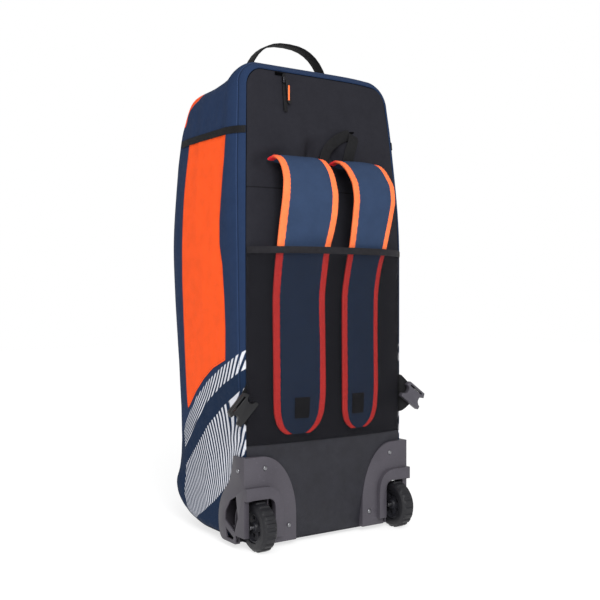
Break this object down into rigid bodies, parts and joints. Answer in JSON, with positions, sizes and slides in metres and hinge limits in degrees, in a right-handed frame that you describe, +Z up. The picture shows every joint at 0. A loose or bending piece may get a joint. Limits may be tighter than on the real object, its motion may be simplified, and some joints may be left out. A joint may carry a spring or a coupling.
{
  "type": "wheeled cricket kit bag",
  "caption": "Stand-up wheeled duffle for cricket kit, with padded backpack straps stowed in a mesh pocket, moulded wheel housings and a webbing top handle.",
  "frame": {"origin": "on the floor under the middle of the bag's box", "axes": "+Z up, strap face towards -Y, plain front towards +Y, X across the bag"},
  "size_m": [0.4612, 0.4472, 1.0132],
  "materials": {
    "navy_cloth": "navy woven polyester, matt with a slight sheen",
    "coated_cloth": "dark grey coated ballistic cloth, semi-matt",
    "black_cloth": "black woven polyester, matt",
    "mesh_cloth": "fine black see-through mesh",
    "orange_cloth": "bright orange printed polyester",
    "orange_binding": "bright orange woven binding tape",
    "webbing": "black polypropylene webbing, ribbed",
    "moulded_grey": "dark grey moulded plastic with a fine grain",
    "buckle_plastic": "dark grey acetal, smooth satin",
    "hub_plastic": "black moulded wheel hub, satin",
    "tyre_rubber": "dark grey lugged rubber",
    "steel": "plated steel, satin"
  },
  "bodies": {
    "root": {"side_panel_left": "navy_cloth", "side_panel_right": "navy_cloth", "top_gusset": "navy_cloth", "base_panel": "navy_cloth", "front_panel": "navy_cloth", "kick_plate": "coated_cloth", "back_panel": "black_cloth", "side_band_left": "webbing", "side_band_right": "webbing", "side_flash_left": "orange_cloth", "side_flash_right": "orange_cloth", "front_trim": "orange_cloth", "stow_pocket": "mesh_cloth", "pocket_band": "webbing", "strap_left": "navy_cloth", "strap_left_binding_a": "orange_binding", "strap_left_binding_b": "orange_binding", "strap_right": "navy_cloth", "strap_right_binding_a": "orange_binding", "strap_right_binding_b": "orange_binding", "strap_tab_left": "webbing", "strap_tab_right": "webbing", "haul_webbing_left": "webbing", "haul_webbing_right": "webbing", "zip_tape": "webbing", "zip_slider": "steel", "zip_puller": "orange_binding", "top_handle": "webbing", "buckle_tab_left": "webbing", "buckle_tab_right": "webbing", "buckle_left": "buckle_plastic", "buckle_right": "buckle_plastic", "wheel_housing_left": "moulded_grey", "wheel_housing_right": "moulded_grey", "rivet_top_left": "steel", "rivet_top_right": "steel", "rivet_low_left": "steel", "rivet_low_right": "steel", "rivet_side_left": "steel", "rivet_side_right": "steel", "axle_left": "steel", "axle_right": "steel", "foot_left": "moulded_grey", "foot_right": "moulded_grey"},
    "wheel_left": {"tyre_left": "tyre_rubber", "hub_left": "hub_plastic"},
    "wheel_right": {"tyre_right": "tyre_rubber", "hub_right": "hub_plastic"}
  },
  "joints": [
    {"name": "wheel_left_spin", "type": "hinge", "parent": "root", "child": "wheel_left", "pos_m": [-0.16759, -0.14962, 0.047], "axis": [1, 0, 0], "continuous": true},
    {"name": "wheel_right_spin", "type": "hinge", "parent": "root", "child": "wheel_right", "pos_m": [0.16441, -0.14962, 0.047], "axis": [1, 0, 0], "continuous": true}
  ]
}
